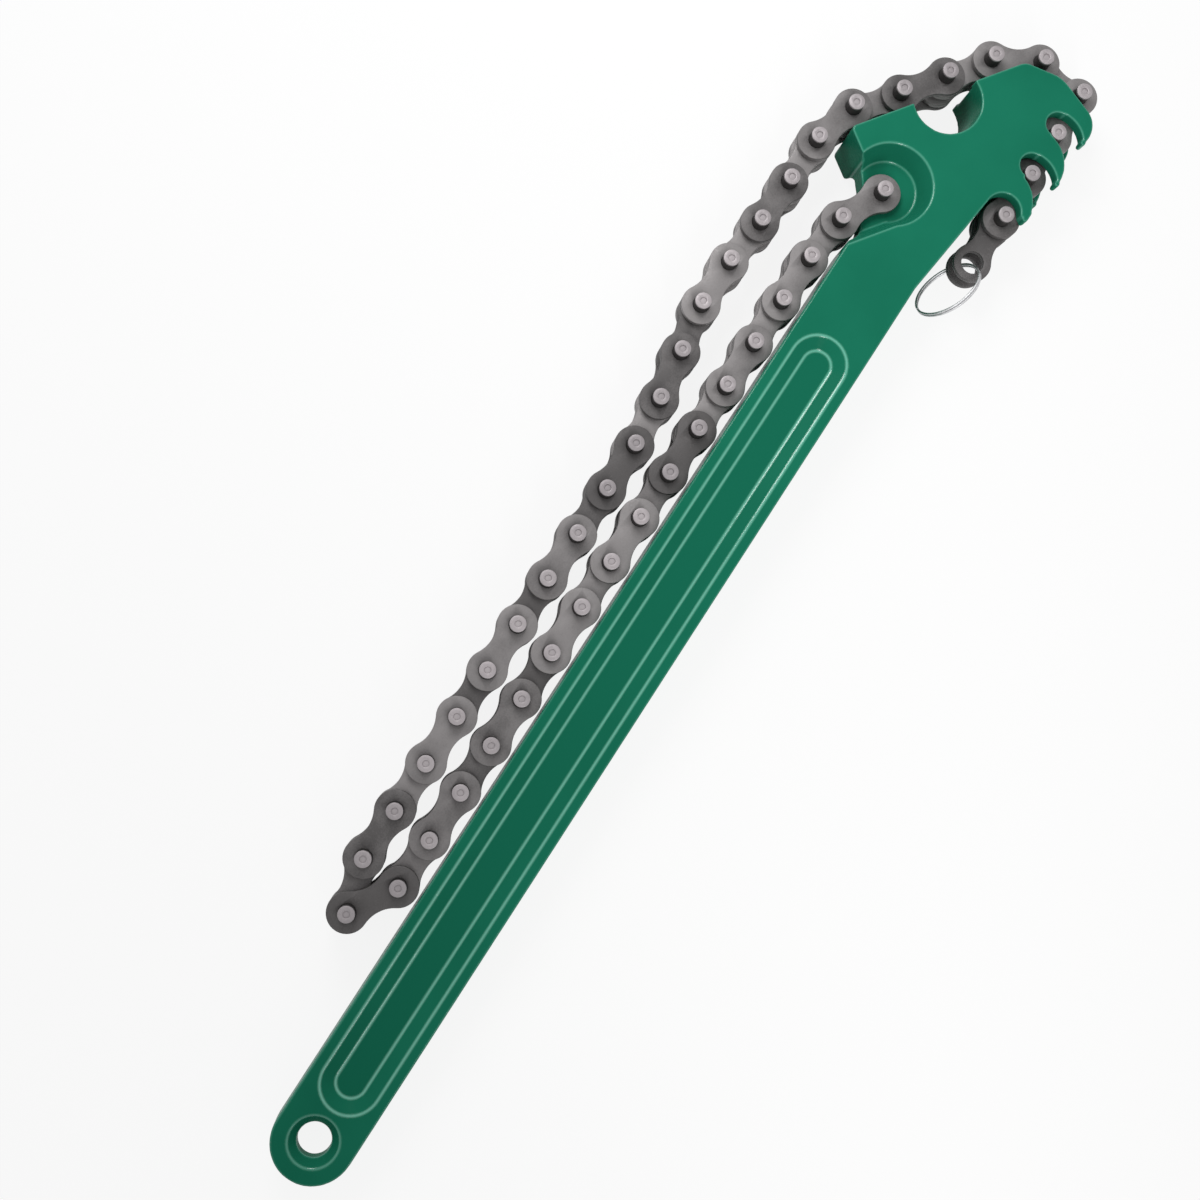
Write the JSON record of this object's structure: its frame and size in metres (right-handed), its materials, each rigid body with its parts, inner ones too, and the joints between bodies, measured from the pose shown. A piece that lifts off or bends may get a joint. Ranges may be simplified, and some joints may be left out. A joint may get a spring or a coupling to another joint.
{
  "type": "chain pipe wrench",
  "caption": "Chain pipe wrench: tapered painted handle with panelled faces, clawed head, and a steel chain folded beside the handle, hooked round the nose, with a tail ring.",
  "frame": {"origin": "centre of the hang hole at half the handle's thickness", "axes": "+X along the handle to the head, +Y to the side where the slack chain lies, +Z out of the upper face"},
  "size_m": [0.3256, 0.0619, 0.0176],
  "materials": {
    "paint": "glossy enamel over forged steel",
    "outer_link": "dull grey chain plates with paler pins",
    "inner_link": "dull grey chain plates",
    "wire": "bright spring wire"
  },
  "bodies": {
    "handle": {"handle": "paint", "link_36": "inner_link", "link_37": "outer_link", "link_38": "inner_link", "link_39": "outer_link", "link_40": "inner_link", "link_41": "outer_link", "link_42": "inner_link", "link_43": "outer_link"},
    "link_01": {"link_01": "outer_link"},
    "link_02": {"link_02": "inner_link"},
    "link_03": {"link_03": "outer_link"},
    "link_04": {"link_04": "inner_link"},
    "link_05": {"link_05": "outer_link"},
    "link_06": {"link_06": "inner_link"},
    "link_07": {"link_07": "outer_link"},
    "link_08": {"link_08": "inner_link"},
    "link_09": {"link_09": "outer_link"},
    "link_10": {"link_10": "inner_link"},
    "link_11": {"link_11": "outer_link"},
    "link_12": {"link_12": "inner_link"},
    "link_13": {"link_13": "outer_link"},
    "link_14": {"link_14": "inner_link"},
    "link_15": {"link_15": "outer_link"},
    "link_16": {"link_16": "inner_link"},
    "link_17": {"link_17": "outer_link"},
    "link_18": {"link_18": "inner_link"},
    "link_19": {"link_19": "outer_link"},
    "link_20": {"link_20": "inner_link"},
    "link_21": {"link_21": "outer_link"},
    "link_22": {"link_22": "inner_link"},
    "link_23": {"link_23": "outer_link"},
    "link_24": {"link_24": "inner_link"},
    "link_25": {"link_25": "outer_link"},
    "link_26": {"link_26": "inner_link"},
    "link_27": {"link_27": "outer_link"},
    "link_28": {"link_28": "inner_link"},
    "link_29": {"link_29": "outer_link"},
    "link_30": {"link_30": "inner_link"},
    "link_31": {"link_31": "outer_link"},
    "link_32": {"link_32": "inner_link"},
    "link_33": {"link_33": "outer_link"},
    "link_34": {"link_34": "inner_link"},
    "link_35": {"link_35": "outer_link"},
    "tail_link": {"link_44": "inner_link"},
    "tail_ring": {"tail_ring": "wire"}
  },
  "joints": [
    {"name": "pin_00", "type": "hinge", "parent": "handle", "child": "link_01", "pos_m": [0.2592, 0.0093, 0], "axis": [0, 0, 1], "range_deg": [-0.636, 0]},
    {"name": "pin_01", "type": "hinge", "parent": "link_01", "child": "link_02", "pos_m": [0.24752, 0.01428, 0], "axis": [0, 0, 1], "range_deg": [-0.638, 0]},
    {"name": "pin_02", "type": "hinge", "parent": "link_02", "child": "link_03", "pos_m": [0.23486, 0.01537, 0], "axis": [0, 0, 1], "range_deg": [-0.639, 0]},
    {"name": "pin_03", "type": "hinge", "parent": "link_03", "child": "link_04", "pos_m": [0.22216, 0.01537, 0], "axis": [0, 0, 1], "range_deg": [-0.639, 0]},
    {"name": "pin_04", "type": "hinge", "parent": "link_04", "child": "link_05", "pos_m": [0.20946, 0.01537, 0], "axis": [0, 0, 1], "range_deg": [-0.639, 0]},
    {"name": "pin_05", "type": "hinge", "parent": "link_05", "child": "link_06", "pos_m": [0.19676, 0.01537, 0], "axis": [0, 0, 1], "range_deg": [-0.885, 0]},
    {"name": "pin_06", "type": "hinge", "parent": "link_06", "child": "link_07", "pos_m": [0.18406, 0.01537, 0], "axis": [0, 0, 1], "range_deg": [-1.42, 0]},
    {"name": "pin_07", "type": "hinge", "parent": "link_07", "child": "link_08", "pos_m": [0.17136, 0.01537, 0], "axis": [0, 0, 1], "range_deg": [-2.02, 0]},
    {"name": "pin_08", "type": "hinge", "parent": "link_08", "child": "link_09", "pos_m": [0.15866, 0.01537, 0], "axis": [0, 0, 1], "range_deg": [-2.56, 0]},
    {"name": "pin_09", "type": "hinge", "parent": "link_09", "child": "link_10", "pos_m": [0.14596, 0.01537, 0], "axis": [0, 0, 1], "range_deg": [-2.97, 0]},
    {"name": "pin_10", "type": "hinge", "parent": "link_10", "child": "link_11", "pos_m": [0.13326, 0.01537, 0], "axis": [0, 0, 1], "range_deg": [-3.23, 0]},
    {"name": "pin_11", "type": "hinge", "parent": "link_11", "child": "link_12", "pos_m": [0.12056, 0.01537, 0], "axis": [0, 0, 1], "range_deg": [-3.4, 0]},
    {"name": "pin_12", "type": "hinge", "parent": "link_12", "child": "link_13", "pos_m": [0.10786, 0.01537, 0], "axis": [0, 0, 1], "range_deg": [-3.5, 0]},
    {"name": "pin_13", "type": "hinge", "parent": "link_13", "child": "link_14", "pos_m": [0.09516, 0.01537, 0], "axis": [0, 0, 1], "range_deg": [-3.57, 0]},
    {"name": "pin_14", "type": "hinge", "parent": "link_14", "child": "link_15", "pos_m": [0.08246, 0.01537, 0], "axis": [0, 0, 1], "range_deg": [-3.62, 0]},
    {"name": "pin_15", "type": "hinge", "parent": "link_15", "child": "link_16", "pos_m": [0.06976, 0.01537, 0], "axis": [0, 0, 1], "range_deg": [-3.65, 0]},
    {"name": "loop_swing", "type": "hinge", "parent": "link_16", "child": "link_17", "pos_m": [0.05706, 0.01537, 0], "axis": [0, 0, 1], "range_deg": [0, 33.8]},
    {"name": "pin_35", "type": "hinge", "parent": "handle", "child": "link_35", "pos_m": [0.2734, 0.02665, 0], "axis": [0, 0, 1], "range_deg": [-0.777, 0]},
    {"name": "pin_34", "type": "hinge", "parent": "link_35", "child": "link_34", "pos_m": [0.26108, 0.02972, 0], "axis": [0, 0, 1], "range_deg": [-0.638, 0]},
    {"name": "pin_33", "type": "hinge", "parent": "link_34", "child": "link_33", "pos_m": [0.24838, 0.02972, 0], "axis": [0, 0, 1], "range_deg": [-0.638, 0]},
    {"name": "pin_32", "type": "hinge", "parent": "link_33", "child": "link_32", "pos_m": [0.23568, 0.03017, 0], "axis": [0, 0, 1], "range_deg": [-0.638, 0]},
    {"name": "pin_31", "type": "hinge", "parent": "link_32", "child": "link_31", "pos_m": [0.22301, 0.03105, 0], "axis": [0, 0, 1], "range_deg": [-0.637, 0]},
    {"name": "pin_30", "type": "hinge", "parent": "link_31", "child": "link_30", "pos_m": [0.21031, 0.03105, 0], "axis": [0, 0, 1], "range_deg": [-0.637, 0]},
    {"name": "pin_29", "type": "hinge", "parent": "link_30", "child": "link_29", "pos_m": [0.1978, 0.02886, 0], "axis": [0, 0, 1], "range_deg": [-0.638, 0]},
    {"name": "pin_28", "type": "hinge", "parent": "link_29", "child": "link_28", "pos_m": [0.18526, 0.02689, 0], "axis": [0, 0, 1], "range_deg": [-0.672, 0]},
    {"name": "pin_27", "type": "hinge", "parent": "link_28", "child": "link_27", "pos_m": [0.17261, 0.02579, 0], "axis": [0, 0, 1], "range_deg": [-1.56, 0]},
    {"name": "pin_26", "type": "hinge", "parent": "link_27", "child": "link_26", "pos_m": [0.15991, 0.02557, 0], "axis": [0, 0, 1], "range_deg": [-2.35, 0]},
    {"name": "pin_25", "type": "hinge", "parent": "link_26", "child": "link_25", "pos_m": [0.14721, 0.02557, 0], "axis": [0, 0, 1], "range_deg": [-2.92, 0]},
    {"name": "pin_24", "type": "hinge", "parent": "link_25", "child": "link_24", "pos_m": [0.13451, 0.02557, 0], "axis": [0, 0, 1], "range_deg": [-3.35, 0]},
    {"name": "pin_23", "type": "hinge", "parent": "link_24", "child": "link_23", "pos_m": [0.12181, 0.02557, 0], "axis": [0, 0, 1], "range_deg": [-3.65, 0]},
    {"name": "pin_22", "type": "hinge", "parent": "link_23", "child": "link_22", "pos_m": [0.10911, 0.02557, 0], "axis": [0, 0, 1], "range_deg": [-3.85, 0]},
    {"name": "pin_21", "type": "hinge", "parent": "link_22", "child": "link_21", "pos_m": [0.09641, 0.02557, 0], "axis": [0, 0, 1], "range_deg": [-3.94, 0]},
    {"name": "pin_20", "type": "hinge", "parent": "link_21", "child": "link_20", "pos_m": [0.08371, 0.02557, 0], "axis": [0, 0, 1], "range_deg": [-3.96, 0]},
    {"name": "pin_19", "type": "hinge", "parent": "link_20", "child": "link_19", "pos_m": [0.07101, 0.02557, 0], "axis": [0, 0, 1], "range_deg": [-3.95, 0]},
    {"name": "pin_18", "type": "hinge", "parent": "link_19", "child": "link_18", "pos_m": [0.05831, 0.02557, 0], "axis": [0, 0, 1], "range_deg": [0, 38.11]},
    {"name": "tail_swing", "type": "hinge", "parent": "handle", "child": "tail_link", "pos_m": [0.2712, -0.0189, 0], "axis": [0, 0, 1], "range_deg": [0, 70]},
    {"name": "ring_swing", "type": "hinge", "parent": "tail_link", "child": "tail_ring", "pos_m": [0.2585, -0.0189, 0], "axis": [0, 0, 1], "range_deg": [0, 70]}
  ],
  "couplings": [
    {"joint": "pin_00", "follows": "loop_swing", "ratio": -0.017645},
    {"joint": "pin_01", "follows": "loop_swing", "ratio": -0.017696},
    {"joint": "pin_02", "follows": "loop_swing", "ratio": -0.017716},
    {"joint": "pin_03", "follows": "loop_swing", "ratio": -0.017723},
    {"joint": "pin_04", "follows": "loop_swing", "ratio": -0.017734},
    {"joint": "pin_05", "follows": "loop_swing", "ratio": -0.024651},
    {"joint": "pin_06", "follows": "loop_swing", "ratio": -0.039643},
    {"joint": "pin_07", "follows": "loop_swing", "ratio": -0.056733},
    {"joint": "pin_08", "follows": "loop_swing", "ratio": -0.071911},
    {"joint": "pin_09", "follows": "loop_swing", "ratio": -0.083314},
    {"joint": "pin_10", "follows": "loop_swing", "ratio": -0.090852},
    {"joint": "pin_11", "follows": "loop_swing", "ratio": -0.095473},
    {"joint": "pin_12", "follows": "loop_swing", "ratio": -0.098367},
    {"joint": "pin_13", "follows": "loop_swing", "ratio": -0.10039},
    {"joint": "pin_14", "follows": "loop_swing", "ratio": -0.10185},
    {"joint": "pin_15", "follows": "loop_swing", "ratio": -0.10262},
    {"joint": "pin_35", "follows": "loop_swing", "ratio": -0.021609},
    {"joint": "pin_34", "follows": "loop_swing", "ratio": -0.017703},
    {"joint": "pin_33", "follows": "loop_swing", "ratio": -0.017695},
    {"joint": "pin_32", "follows": "loop_swing", "ratio": -0.017682},
    {"joint": "pin_31", "follows": "loop_swing", "ratio": -0.017662},
    {"joint": "pin_30", "follows": "loop_swing", "ratio": -0.017656},
    {"joint": "pin_29", "follows": "loop_swing", "ratio": -0.01769},
    {"joint": "pin_28", "follows": "loop_swing", "ratio": -0.018649},
    {"joint": "pin_27", "follows": "loop_swing", "ratio": -0.043567},
    {"joint": "pin_26", "follows": "loop_swing", "ratio": -0.065929},
    {"joint": "pin_25", "follows": "loop_swing", "ratio": -0.082059},
    {"joint": "pin_24", "follows": "loop_swing", "ratio": -0.094061},
    {"joint": "pin_23", "follows": "loop_swing", "ratio": -0.10268},
    {"joint": "pin_22", "follows": "loop_swing", "ratio": -0.10809},
    {"joint": "pin_21", "follows": "loop_swing", "ratio": -0.11066},
    {"joint": "pin_20", "follows": "loop_swing", "ratio": -0.11123},
    {"joint": "pin_19", "follows": "loop_swing", "ratio": -0.11102},
    {"joint": "pin_18", "follows": "loop_swing", "ratio": 1.0736}
  ]
}
